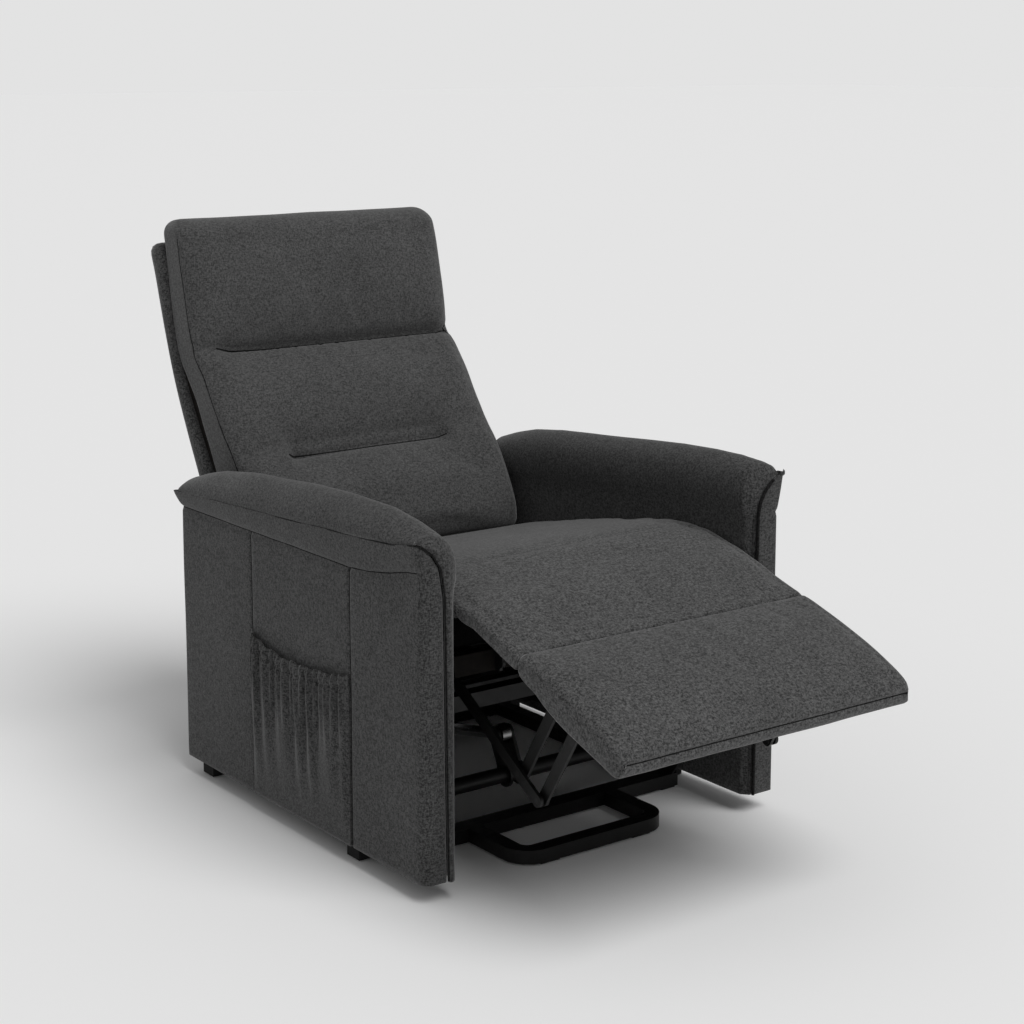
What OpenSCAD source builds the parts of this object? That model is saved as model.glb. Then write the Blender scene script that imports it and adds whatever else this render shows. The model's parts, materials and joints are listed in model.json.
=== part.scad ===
// Lift recliner chair, stored in its television position: footrest out, back leaning.
// The sitter faces -Y, +Z is up, and the origin is on the floor at the middle of the footprint.
// All lengths are in millimetres, all angles in degrees. Side pieces are mirrored about X = 0.

/* [Arms] */
// Distance from the centre line to the inner face of an arm
arm_gap = 316; // [314:1:322]
// Distance from the centre line to the outer side of an arm
arm_outer = 380; // [378:1:390]
// Front face of the arms
arm_front = -330; // [-334:1:-326]
// Rear face of the arms
arm_rear = 478; // [478:1:490]
// Lower edge of the arm upholstery
arm_bottom = 33; // [30:1:40]
// Thickness of the plywood board inside each arm
arm_board = 18; // [12:1:18]

/* [Seat] */
// Half the width of the seat cushion
seat_half = 308; // [296:1:310]
// Downward slope of the seat frame towards the back
seat_tilt = 10; // [9:0.5:11]
// Height of the wooden seat rails
seat_rail_h = 34; // [26:1:34]
// Number of wave springs across the seat
seat_spring_count = 5; // [3:1:6]

/* [Back] */
// Half the width of the back cushion
back_half = 290; // [275:1:294]
// Half the width of the rear shell
shell_half = 300; // [290:1:304]
// Number of elastic straps behind the cushion
strap_count = 6; // [4:1:7]

/* [Footrest] */
// Half the width of the footrest pads
foot_half = 306; // [290:1:308]
// Half the width of the boards under the pads
board_half = 200; // [150:5:200]

/* [Steel] */
// Thickness of the link and pivot plates
plate = 6; // [4:1:6]
// Radius of the large pivot pins
pin_r = 5.95; // [5.5:0.05:5.95]
// Radius of the holes that run on the large pins
pin_hole = 6; // [6:0.05:6.05]
// Width of the lift arms
lift_w = 28; // [24:1:28]
// Width of the lift followers
follower_w = 16; // [14:1:16]
// Width of the footrest links
link_w = 22; // [18:1:24]

/* [Base] */
// Height of the base tubes above the glides
base_h = 24; // [20:1:26]
// Half the width of the front loop
loop_half = 165; // [150:1:180]
// Width of the tube of the front loop
loop_tube = 29; // [26:1:34]
// Wall of the base side rails
base_wall = 3; // [2:0.5:4]

/* [Hidden] */
$fn = 48;
gap = 0.3;                       // air between neighbouring pieces
glide = 4;                       // height of the rubber glides
base_top = glide + base_h;       // top of the base tubes
base_mid = -148;                 // front face of the cross bar
// pivot points in the side plane, as [y, z]
p_lift = [-130, 102];            // lift arm on the base
p_lift_top = [260, 85];          // lift arm on the chassis
p_follow = [-195, 115];          // follower on the base
p_follow_top = [38, 120];        // follower on the chassis, open
p_lift_motor = [370, 70];        // lift motor on the base
p_lift_rod = [-100.4, 165.4];    // lift rod on the lever, open
p_back = [375, 360];             // back on the chassis
p_back_motor = [30, 225];        // back motor on the chassis
p_back_rod = [430, 245];         // back rod on the back, open
p_foot = [-300, 470];            // footrest on the chassis
p_fold = [-476, 405];            // fold between the two footrest pads
p_low = [-220, 340];             // lower footrest link on the chassis
p_up_a = [-410, 222];            // rear upper link on the lower link
p_up_b = [-460, 192];            // front upper link on the lower link
p_pad_a = [-490, 352];           // rear upper link under the pad, open
p_pad_b = [-540, 322];           // front upper link under the pad, open
// lanes of the plates, as distances from the centre line
x_hinge = 206;                   // footrest hinge brackets on the chassis
x_mid = 218;                     // bars under the middle pad
x_pad = 226;                     // brackets under the front pad
x_upper = 238;                   // upper footrest links
x_lower = 250;                   // lower footrest links
x_chassis = 262;                 // chassis side plates
x_arm = 274;                     // lift arms
x_follow = 286;                  // followers
x_base = 296;                    // pivot plates of the base
rail_in = 286;                   // base side rails, inner face
rail_out = 312;                  // base side rails, outer face
board_in = arm_gap + 24;         // inner face of the arm board
board_out = board_in + arm_board;
seat_at = [-285, 390];           // front top edge of the seat frame

// ---------- helpers ----------

// Extrudes a side outline, drawn as [y, z], from x0 to x1.
module side(x0, x1) {
    translate([x0, 0, 0])
        rotate([90, 0, 90])
            linear_extrude(x1 - x0)
                children();
}

// Extrudes a front outline, drawn as [x, z], from y0 to y1.
module front(y0, y1) {
    translate([0, y1, 0])
        rotate([90, 0, 0])
            linear_extrude(y1 - y0)
                children();
}

// Round bar along X.
module bar_x(x0, x1, at, r) {
    translate([x0, at[0], at[1]])
        rotate([0, 90, 0])
            cylinder(r = r, h = x1 - x0);
}

// Round tube along X.
module tube_x(x0, x1, at, r, wall) {
    difference() {
        bar_x(x0, x1, at, r);
        bar_x(x0 - 1, x1 + 1, at, r - wall);
    }
}

// Flat link outline between two points, with a round end at each, a little wider than the bar.
module link_2d(a, b, w) {
    d = b - a;
    bar_w = w - 1.6;
    translate(a)
        circle(d = w);
    translate(b)
        circle(d = w);
    translate(a)
        rotate(atan2(d[1], d[0]))
            translate([0, -bar_w / 2])
                square([norm(d), bar_w]);
}

// Round hole in an outline.
module hole_2d(at, r) {
    translate(at)
        circle(r = r);
}

// Draws its children on both sides of the centre line.
module both() {
    children();
    mirror([1, 0, 0])
        children();
}

// Pin along X with a flat head on its free end.
module pin(x0, x1, at, r, head) {
    bar_x(x0, x1, at, r);
    bar_x(head > 0 ? x1 : x0 - 2.5, head > 0 ? x1 + 2.5 : x0, at, r + 3);
}

// Places children in the tilted frame of the seat, whose X-Y plane is the top of the rails.
module on_seat() {
    translate([0, seat_at[0], seat_at[1]])
        rotate([-seat_tilt, 0, 0])
            children();
}

// ---------- base ----------

// Round-cornered outline of the front loop, seen from above.
module loop_2d(half, y0, y1, r) {
    translate([-half, y0 + r])
        square([2 * half, y1 - y0 - r]);
    translate([-half + r, y0])
        square([2 * half - 2 * r, r + 1]);
    for (s = [-1, 1])
        translate([s * (half - r), y0 + r])
            circle(r = r);
}

module base_front_loop() {
    color([0.05, 0.05, 0.055])
        translate([0, 0, glide])
            linear_extrude(base_h)
                difference() {
                    loop_2d(loop_half, -300, base_mid - gap / 10, 52);
                    loop_2d(loop_half - loop_tube, -300 + loop_tube, -130, 16);
                }
}

module base_cross_bar() {
    color([0.05, 0.05, 0.055])
        translate([-rail_out, base_mid, glide])
            difference() {
                cube([2 * rail_out, 36, base_h]);
                translate([-1, base_wall, base_wall])
                    cube([2 * rail_out + 2, 36 - 2 * base_wall, base_h - 2 * base_wall]);
            }
}

module base_side_rails() {
    color([0.05, 0.05, 0.055])
        both()
            translate([rail_in, -112, glide])
                difference() {
                    cube([rail_out - rail_in, 507, base_h]);
                    translate([base_wall, -1, base_wall])
                        cube([rail_out - rail_in - 2 * base_wall, 509, base_h - 2 * base_wall]);
                }
}

module base_rear_bar() {
    color([0.05, 0.05, 0.055])
        translate([-rail_out, 395, glide])
            difference() {
                cube([2 * rail_out, 35, base_h]);
                translate([-1, base_wall, base_wall])
                    cube([2 * rail_out + 2, 35 - 2 * base_wall, base_h - 2 * base_wall]);
            }
}

module base_pivot_plates() {
    color([0.06, 0.06, 0.065])
        both()
            side(x_base, x_base + plate)
                difference() {
                    union() {
                        polygon([[base_mid, base_top], [-112, base_top], [-112, 96], [-122, 114], [-190, 128],
                                 [-206, 118], [-204, 104]]);
                        hole_2d(p_lift, 13);
                        hole_2d(p_follow, 13);
                    }
                    hole_2d(p_lift, pin_hole);
                    hole_2d(p_follow, pin_hole);
                }
}

module base_pivot_pins() {
    color([0.55, 0.55, 0.57])
        both() {
            pin(x_arm - 1, x_base + plate, p_lift, pin_r, 1);
            pin(x_follow - 1, x_base + plate, p_follow, pin_r, 1);
        }
}

module base_motor_bracket() {
    color([0.06, 0.06, 0.065]) {
        for (x = [-86, -40])
            side(x, x + plate)
                difference() {
                    polygon([[395, base_top], [425, base_top], [425, 48], [384, 84], [362, 84], [356, 66],
                             [366, 56]]);
                    hole_2d(p_lift_motor, pin_hole);
                }
        bar_x(-88, -32, p_lift_motor, pin_r);
    }
}

module base_glides() {
    color([0.12, 0.12, 0.12])
        for (s = [-1, 1]) {
            translate([s * 100 - 20, -295, 0])
                cube([40, 20, glide]);
            translate([s * 292 - 16, -144, 0])
                cube([32, 28, glide]);
            translate([s * 292 - 16, 398, 0])
                cube([32, 28, glide]);
        }
}

module control_box() {
    color([0.10, 0.10, 0.11])
        difference() {
            translate([110, 396, base_top])
                cube([110, 44, 42]);
            translate([130, 441, 55])
                rotate([90, 0, 0])
                    cylinder(r = 4, h = 13);
        }
}

// ---------- lift linkage ----------

module lift_arms() {
    color([0.07, 0.07, 0.075])
        both()
            side(x_arm, x_arm + plate)
                difference() {
                    link_2d(p_lift, p_lift_top, lift_w);
                    hole_2d(p_lift, pin_hole);
                    hole_2d(p_lift_top, pin_hole);
                }
}

module lift_torque_tube() {
    color([0.07, 0.07, 0.075])
        tube_x(-x_arm + 1.2, x_arm - 1.2, p_lift, 14, 3);
    color([0.07, 0.07, 0.075])
        both()
            tube_x(x_arm - 1.2, x_arm, p_lift, 14, 6);
}

module lift_lever() {
    color([0.07, 0.07, 0.075]) {
        for (x = [-77, -49])
            side(x, x + plate)
                difference() {
                    union() {
                        link_2d(p_lift, p_lift_rod, 30);
                        hole_2d(p_lift, 22);
                    }
                    hole_2d(p_lift, 14);
                    hole_2d(p_lift_rod, pin_hole);
                }
        bar_x(-79, -41, p_lift_rod, pin_r);
    }
}

module lift_followers() {
    color([0.07, 0.07, 0.075])
        both()
            side(x_follow, x_follow + plate)
                difference() {
                    union() {
                        link_2d(p_follow, p_follow_top, follower_w);
                        hole_2d(p_follow, 11);
                        hole_2d(p_follow_top, 14);
                    }
                    hole_2d(p_follow, pin_hole);
                    hole_2d(p_follow_top, 8.5);
                }
}

// Linear motor drawn along +X from its rear pivot at the origin, with its gear housing.
module motor_body(reach, housing) {
    rotate([0, 90, 0])
        difference() {
            translate([0, 0, 22])
                cylinder(r = 17, h = reach - 22);
            translate([0, 0, 60])
                cylinder(r = 10.05, h = reach);
        }
    difference() {
        translate([-12, -16, -14])
            cube([62, 32, 28]);
        rotate([90, 0, 0])
            translate([0, 0, -20])
                cylinder(r = 6, h = 40);
    }
    translate([24, -16, housing > 0 ? 10 : -60])
        cube([52, 32, 50]);
}

module motor_rod(from, to, eye, hole) {
    rotate([0, 90, 0])
        translate([0, 0, from])
            cylinder(r = 10, h = to - from - eye + 1);
    difference() {
        union() {
            translate([to, 9, 0])
                rotate([90, 0, 0])
                    cylinder(r = eye, h = 18);
            translate([to - eye - 12, -9, -9])
                cube([14, 18, 18]);
        }
        translate([to, 10, 0])
            rotate([90, 0, 0])
                cylinder(r = hole, h = 20);
    }
}

// Turns a piece drawn along +X into the side plane, from pivot a towards b, centred at x.
module aim(a, b, x) {
    d = b - a;
    translate([x, a[0], a[1]])
        rotate([atan2(d[1], d[0]), 0, 0])
            rotate([0, 0, 90])
                children();
}

module lift_motor() {
    color([0.13, 0.13, 0.14])
        aim(p_lift_motor, p_lift_rod, -60)
            motor_body(300, 1);
}

module lift_motor_rod() {
    color([0.62, 0.62, 0.64])
        aim(p_lift_motor, p_lift_rod, -60)
            motor_rod(150, norm(p_lift_rod - p_lift_motor), 18, 12.2);
}

// ---------- chassis ----------

module chassis_plates() {
    color([0.06, 0.06, 0.065])
        both()
            side(x_chassis, x_chassis + plate)
                difference() {
                    union() {
                        polygon([[-222, 354], [-160, 342], [60, 300], [200, 276], [300, 262], [356, 330],
                                 [360, 372], [392, 364], [388, 340], [330, 220], [288, 120], [275, 80],
                                 [247, 78], [240, 120], [180, 170], [80, 170], [52, 118], [26, 112],
                                 [10, 150], [-40, 200], [-140, 232], [-180, 270], [-232, 328]]);
                        hole_2d(p_low, 15);
                        hole_2d(p_lift_top, 15);
                        hole_2d(p_follow_top, 15);
                        hole_2d(p_back, 18);
                    }
                    hole_2d(p_low, pin_hole);
                    hole_2d(p_lift_top, pin_hole);
                    hole_2d(p_follow_top, pin_hole);
                    hole_2d(p_back, pin_hole);
                }
}

module chassis_tubes() {
    color([0.06, 0.06, 0.065]) {
        translate([-x_chassis, -134, 236])
            cube([2 * x_chassis, 28, 28]);
        translate([-x_chassis, -12, 206])
            cube([2 * x_chassis, 28, 28]);
        translate([-x_chassis, 244, 176])
            cube([2 * x_chassis, 28, 28]);
    }
}

module chassis_pivot_pins() {
    color([0.55, 0.55, 0.57]) {
        both() {
            pin(x_chassis, x_arm + plate, p_lift_top, pin_r, 1);
            pin(x_chassis, x_follow + plate, p_follow_top, pin_r, 1);
            pin(x_lower, x_chassis + plate, p_low, pin_r, -1);
            pin(x_chassis - 8, x_chassis + plate, p_back, pin_r, -1);
            pin(x_hinge, x_mid + plate, p_foot, pin_r, 1);
        }
    }
}

module back_motor_bracket() {
    color([0.06, 0.06, 0.065]) {
        for (x = [34, 80])
            side(x, x + plate)
                difference() {
                    union() {
                        polygon([[16.2, 206], [16.2, 234], [30, 239], [30, 211]]);
                        hole_2d(p_back_motor, 13);
                    }
                    hole_2d(p_back_motor, pin_hole);
                    translate([-20, 200])
                        square([36.2, 40]);
                }
        bar_x(32, 88, p_back_motor, pin_r);
    }
}

module arm_brackets() {
    color([0.06, 0.06, 0.065])
        both()
            for (yz = [[-150, 226], [190, 214]])
                translate([x_chassis + plate, yz[0], yz[1]]) {
                    cube([board_in - x_chassis - plate - 4, 40, 5]);
                    translate([board_in - x_chassis - plate - 4, 0, 0])
                        cube([4, 40, 36]);
                    cube([4, 40, 36]);
                }
}

module seat_side_rails() {
    color([0.72, 0.56, 0.38])
        both()
            on_seat()
                translate([x_chassis + plate, 0, -seat_rail_h])
                    cube([24, 590, seat_rail_h]);
}

module seat_front_rail() {
    color([0.72, 0.56, 0.38])
        on_seat()
            translate([-x_chassis - plate, 0, -seat_rail_h])
                cube([2 * (x_chassis + plate), 22, seat_rail_h]);
}

module seat_rear_rail() {
    color([0.72, 0.56, 0.38])
        on_seat()
            translate([-x_chassis, 566, -seat_rail_h])
                cube([2 * x_chassis, 24, seat_rail_h]);
}

// One wave spring, drawn along +Y from the front rail to the rear rail.
module wave_spring() {
    pitch = 24;
    wide = 44;
    wire = 3.6;
    for (i = [0 : 22]) {
        translate([-wide / 2, i * pitch])
            square([wide, wire]);
        if (i < 22)
            translate([i % 2 == 0 ? wide / 2 - wire : -wide / 2, i * pitch])
                square([wire, pitch + wire]);
    }
}

module seat_springs() {
    color([0.35, 0.35, 0.36])
        on_seat()
            for (i = [0 : seat_spring_count - 1])
                translate([-200 + i * 400 / (seat_spring_count - 1), 20, gap])
                    linear_extrude(3.6)
                        wave_spring();
}

module seat_cushion() {
    color([0.25, 0.25, 0.26])
        side(-seat_half, seat_half)
            polygon([[-284, 396], [-284, 490], [-270, 500], [-220, 507], [-174, 509], [-100, 501],
                     [35, 477], [199, 442], [298, 417], [298, 294]]);
}

module footrest_hinge_brackets() {
    color([0.06, 0.06, 0.065])
        both()
            side(x_hinge, x_hinge + plate)
                difference() {
                    union() {
                        link_2d([-300.5, 372], p_foot, 22);
                        polygon([[-303, 357], [-291.2, 357], [-285.3, 391], [-285.3, 395], [-303, 395]]);
                    }
                    hole_2d(p_foot, pin_hole);
                }
}

// Upholstered panel that closes the rear between the arms.
module rear_panel() {
    color([0.19, 0.19, 0.20])
        translate([-arm_gap + 2, arm_rear - 6.5, 60])
            cube([2 * arm_gap - 4, 6, 252]);
}

// ---------- arms ----------

module arm_frame(s) {
    color([0.72, 0.56, 0.38])
        side(s > 0 ? board_in : -board_out, s > 0 ? board_out : -board_in)
            polygon([[arm_front + 22, 48], [arm_front + 22, 548], [arm_rear - 22, 548], [arm_rear - 22, 48]]);
}

module arm_frame_left() {
    arm_frame(-1);
}

module arm_frame_right() {
    arm_frame(1);
}

// Upholstered outer side with the returns on the front and rear edges, drawn for the right arm.
module outer_panel() {
    side(board_out + gap, arm_outer)
        polygon([[arm_front + 21.7, arm_bottom], [arm_rear, arm_bottom], [arm_rear, 516.7],
                 [-105, 516.7], [-237, 532.7], [arm_front + 21.7, 546]]);
    front(arm_front, arm_front + 21.7)
        polygon([[arm_gap + 17.5, arm_bottom], [arm_outer, arm_bottom], [arm_outer, 546], [385.5, 594],
                 [378, 592], [360, 583], [344, 566], [arm_gap + 17.5, 538]]);
    translate([board_in, arm_rear - 21.7, arm_bottom])
        cube([board_out - board_in + gap, 21.7, 508]);
}

module arm_outer_panel_left() {
    color([0.20, 0.20, 0.21])
        mirror([1, 0, 0])
            outer_panel();
}

module arm_outer_panel_right() {
    color([0.20, 0.20, 0.21])
        outer_panel();
}

// Flared strip between the outer side and the piped lip, drawn for the right arm.
module band() {
    side(board_out + gap, arm_outer + 6)
        polygon([[arm_front + 22, 546.5], [-237, 533], [-105, 517], [arm_rear, 517], [arm_rear, 543],
                 [15, 566], [-240, 577], [arm_front + 22, 590]]);
}

module arm_band_left() {
    color([0.21, 0.21, 0.22])
        mirror([1, 0, 0])
            band();
}

module arm_band_right() {
    color([0.21, 0.21, 0.22])
        band();
}

// Padded crown, inner side and rolled front edge in one piece, drawn for the right arm.
module pad() {
    difference() {
        union() {
            intersection() {
                union() {
                    side(arm_gap - 10, board_out + 0.1)
                        polygon([[arm_front + 22, 548.3], [arm_rear, 548.3], [arm_rear, 556], [455, 570],
                                 [405, 585], [350, 598], [262, 610], [136, 618], [24, 626], [-71, 632],
                                 [-192, 632], [-255, 626], [arm_front + 22, 616]]);
                    side(board_out, arm_outer + 13)
                        polygon([[arm_front + 22, 590.3], [-240, 577.3], [15, 566.3], [arm_rear, 543.3],
                                 [arm_rear, 556], [455, 570], [405, 585], [350, 598], [262, 610],
                                 [136, 618], [24, 626], [-71, 632], [-192, 632], [-255, 626],
                                 [arm_front + 22, 616]]);
                }
                front(arm_front, arm_rear + 1)
                    polygon([[306, 540], [306, 585], [314, 612], [330, 628], [350, 634], [368, 628],
                             [384, 612], [393, 592], [394, 540]]);
            }
            side(arm_gap, board_in - gap)
                polygon([[arm_front + 22, arm_bottom], [arm_front + 22, 549], [arm_rear, 549],
                         [arm_rear, arm_bottom]]);
            front(arm_front - 19, arm_front + 22.1)
                polygon([[arm_gap, arm_bottom], [arm_gap + 15, arm_bottom], [arm_gap + 15, 540],
                         [341, 571], [358, 591], [376, 603], [387, 607], [384, 612], [368, 616],
                         [330, 616], [314, 612], [306, 585], [306, 553], [arm_gap, 545]]);
        }
        for (yz = [[-152, 224], [188, 212]])
            translate([arm_gap - 1, yz[0], yz[1]])
                cube([board_in - arm_gap + 2, 44, 40]);
    }
}

module arm_pad_left() {
    color([0.22, 0.22, 0.23])
        mirror([1, 0, 0])
            pad();
}

module arm_pad_right() {
    color([0.22, 0.22, 0.23])
        pad();
}

// Piped edge along the lip, over the front corner and down the front face.
module arm_piping() {
    color([0.16, 0.16, 0.17])
        both() {
            side(arm_outer + 6.3, arm_outer + 14)
                polygon([[arm_rear, 540], [15, 563], [-240, 574], [-308, 587], [arm_front, 600],
                         [arm_front, 606], [-308, 590], [-240, 577], [15, 566], [arm_rear, 543]]);
            front(arm_front - 4, arm_front - gap)
                polygon([[arm_gap + 15.4, arm_bottom + 1], [arm_gap + 19.4, arm_bottom + 1],
                         [arm_gap + 19.4, 536], [346, 564], [361, 582], [378, 594], [392, 600],
                         [392, 604], [376, 599], [358, 587], [341.5, 567], [arm_gap + 15.4, 537]]);
        }
}

// Hand pocket on the outer side of one arm, open at the top.
module arm_pocket() {
    color([0.19, 0.19, 0.20])
        difference() {
            translate([-arm_outer - 14.5, -105, arm_bottom + 1])
                cube([14.2, 320, 298]);
            translate([-arm_outer - 12.4, -101, arm_bottom + 7])
                cube([9.6, 312, 300]);
        }
}

module arm_feet() {
    color([0.06, 0.06, 0.06])
        both()
            for (y = [-84, 429]) {
                translate([board_in + gap, y - 16, 20])
                    cube([arm_board - 2 * gap, 32, 27.7]);
                translate([board_in - 3, y - 19, 2])
                    cube([arm_board + 6, 38, 24]);
            }
}

// ---------- back ----------

module back_shell() {
    color([0.19, 0.19, 0.20])
        side(-shell_half, shell_half)
            polygon([[440, 340], [455, 390], [497, 470], [548, 555], [592, 634], [632, 712], [670, 812],
                     [709, 917], [728, 974], [722, 980], [704, 984], [676, 986], [674, 975], [702, 968],
                     [688, 920], [650, 820], [613, 722], [573, 643], [529, 565], [478, 480], [436, 400],
                     [424, 345]]);
}

module back_frame_posts() {
    color([0.72, 0.56, 0.38])
        both()
            side(x_chassis - 2, 290)
                polygon([[416, 404], [445, 462], [494, 552], [513, 572], [562, 642], [604, 708],
                         [628, 766], [656, 840], [686, 920], [690, 958], [676, 960], [658, 920], [642, 861],
                         [609, 766], [580, 708], [541, 642], [495, 574], [427, 442], [407, 404]]);
}

module back_frame_rails() {
    color([0.72, 0.56, 0.38])
        for (p = [[646.6, 878, 15.2, 2], [621, 801, 19.2, 2], [583.5, 714, 26.6, 2], [432, 452, 27.3, 8]])
            translate([-x_chassis + p[3] + gap, p[0], p[1]])
                rotate([90 - p[2], 0, 0])
                    translate([0, 0, -13])
                        cube([2 * (x_chassis - p[3] - gap), 40, 12]);
}

module back_straps() {
    color([0.30, 0.30, 0.30])
        for (i = [0 : strap_count - 1]) {
            t = i / (strap_count - 1);
            translate([-x_chassis + 2 + gap, 482 + 82 * t, 545 + 135 * t])
                rotate([-33, 0, 0])
                    cube([2 * (x_chassis - 2 - gap), 2, 26]);
        }
}

module back_cushion_head() {
    color([0.27, 0.27, 0.28])
        side(-back_half, back_half)
            polygon([[544, 797], [568, 881], [586, 945], [605, 1008], [620, 1023], [650, 1033],
                     [677, 1029], [684, 1012], [668, 1000], [648, 930], [632, 861], [612, 797]]);
}

module back_cushion_mid() {
    color([0.26, 0.26, 0.27])
        side(-back_half, back_half)
            polygon([[543, 792], [530, 777], [502, 744], [474, 709], [437, 653], [411, 611],
                     [518, 611], [538, 643], [577, 709], [604, 767], [611, 792]]);
}

module back_cushion_lumbar() {
    color([0.26, 0.26, 0.27])
        side(-back_half, back_half)
            polygon([[409, 606], [373, 580], [350, 551], [328, 511], [309, 462], [308, 440],
                     [322, 424], [404, 424], [423, 441], [492, 573], [516, 606]]);
}

module back_hinge_plates() {
    color([0.06, 0.06, 0.065])
        both()
            side(x_chassis - 8, x_chassis - 2)
                difference() {
                    union() {
                        polygon([[360, 372], [404, 418], [428, 441], [452, 486], [478, 536], [490, 530],
                                 [462, 478], [440, 440], [432, 400], [394, 350]]);
                        link_2d(p_back, p_back_rod, 34);
                        hole_2d(p_back, 20);
                    }
                    hole_2d(p_back, pin_hole);
                }
}

module back_lever_tube() {
    color([0.06, 0.06, 0.065])
        bar_x(-x_chassis + 8, x_chassis - 8, p_back_rod, 7);
}

module back_motor() {
    color([0.13, 0.13, 0.14])
        aim(p_back_motor, p_back_rod, 60)
            motor_body(240, -1);
}

module back_motor_rod() {
    color([0.62, 0.62, 0.64])
        aim(p_back_motor, p_back_rod, 60)
            motor_rod(150, norm(p_back_rod - p_back_motor), 20, 13.8);
}

// ---------- footrest ----------

module footrest_mid_bars() {
    color([0.06, 0.06, 0.065])
        both() {
            side(x_mid, x_mid + plate)
                difference() {
                    union() {
                        link_2d(p_foot, p_fold, 15);
                        hole_2d(p_foot, 10);
                        hole_2d(p_fold, 9);
                    }
                    hole_2d(p_foot, pin_hole);
                    hole_2d(p_fold, 5);
                }
            pin(x_mid, x_pad + plate, p_fold, 4.95, 1);
        }
    color([0.06, 0.06, 0.065])
        translate([-x_mid, -448, 410])
            cube([2 * x_mid, 22, 4]);
}

module footrest_mid_board() {
    color([0.72, 0.56, 0.38])
        side(-board_half, board_half)
            polygon([[-330, 459.2], [-330, 469], [-460, 421], [-460, 412.2]]);
}

module footrest_mid_pad() {
    color([0.26, 0.26, 0.27])
        side(-foot_half, foot_half)
            polygon([[-320, 474], [-320, 484], [-359, 477], [-406, 460], [-472, 441], [-480, 432],
                     [-478, 416]]);
}

module footrest_main_board() {
    color([0.72, 0.56, 0.38])
        side(-foot_half + 16, foot_half - 16)
            polygon([[-494, 397.5], [-494, 386], [-704, 313.5], [-712, 324]]);
}

module footrest_main_pad() {
    color([0.26, 0.26, 0.27])
        side(-foot_half, foot_half)
            polygon([[-488, 400.5], [-488, 436], [-532, 427], [-610, 399], [-671, 373], [-712, 349],
                     [-727, 336], [-722, 322]]);
}

module footrest_pad_brackets() {
    color([0.06, 0.06, 0.065])
        both()
            side(x_pad, x_pad + plate)
                difference() {
                    union() {
                        polygon([[-480, 398], [-493.5, 385.2], [-500, 383], [-580, 355.5], [-566, 324], [-548, 310],
                                 [-480, 344]]);
                        hole_2d(p_fold, 9);
                        hole_2d(p_pad_a, 11);
                        hole_2d(p_pad_b, 11);
                    }
                    hole_2d(p_fold, 5);
                    hole_2d(p_pad_a, 5);
                    hole_2d(p_pad_b, 5);
                }
}

module footrest_pad_pins() {
    color([0.55, 0.55, 0.57])
        both() {
            pin(x_pad, x_upper + plate, p_pad_a, 4.95, 1);
            pin(x_pad, x_upper + plate, p_pad_b, 4.95, 1);
        }
}

module footrest_lower_links() {
    color([0.07, 0.07, 0.075])
        both()
            side(x_lower, x_lower + plate)
                difference() {
                    union() {
                        link_2d(p_low, p_up_a, link_w);
                        link_2d(p_up_a, p_up_b, link_w);
                    }
                    hole_2d(p_low, pin_hole);
                    hole_2d(p_up_a, 5);
                    hole_2d(p_up_b, 5);
                }
}

module footrest_link_pins() {
    color([0.55, 0.55, 0.57])
        both() {
            pin(x_upper, x_lower + plate, p_up_a, 4.95, -1);
            pin(x_upper, x_lower + plate, p_up_b, 4.95, -1);
        }
}

// Pair of upper links between a pin on the lower links and a pin under the front pad.
module upper_links(a, b) {
    color([0.07, 0.07, 0.075])
        both()
            side(x_upper, x_upper + plate)
                difference() {
                    union() {
                        link_2d(a, b, link_w);
                        hole_2d(b, 12.5);
                    }
                    hole_2d(a, 5);
                    hole_2d(b, 7.8);
                }
}

module footrest_upper_links_rear() {
    upper_links(p_up_a, p_pad_a);
}

module footrest_upper_links_front() {
    upper_links(p_up_b, p_pad_b);
}

base_front_loop();
base_cross_bar();
base_side_rails();
base_rear_bar();
base_pivot_plates();
base_pivot_pins();
base_motor_bracket();
base_glides();
control_box();
lift_arms();
lift_torque_tube();
lift_lever();
lift_followers();
lift_motor();
lift_motor_rod();
chassis_plates();
chassis_tubes();
chassis_pivot_pins();
back_motor_bracket();
arm_brackets();
seat_side_rails();
seat_front_rail();
seat_rear_rail();
seat_springs();
seat_cushion();
footrest_hinge_brackets();
rear_panel();
arm_frame_left();
arm_frame_right();
arm_outer_panel_left();
arm_outer_panel_right();
arm_band_left();
arm_band_right();
arm_pad_left();
arm_pad_right();
arm_piping();
arm_pocket();
arm_feet();
back_shell();
back_frame_posts();
back_frame_rails();
back_straps();
back_cushion_head();
back_cushion_mid();
back_cushion_lumbar();
back_hinge_plates();
back_lever_tube();
back_motor();
back_motor_rod();
footrest_mid_bars();
footrest_mid_board();
footrest_mid_pad();
footrest_main_board();
footrest_main_pad();
footrest_pad_brackets();
footrest_pad_pins();
footrest_lower_links();
footrest_link_pins();
footrest_upper_links_rear();
footrest_upper_links_front();
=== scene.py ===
"""Looks of the lift recliner chair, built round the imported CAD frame.

Metres, +Z up, the sitter faces -Y. The chair is stored with the footrest out and the back leaning a little.
"""
import json
import math

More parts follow.
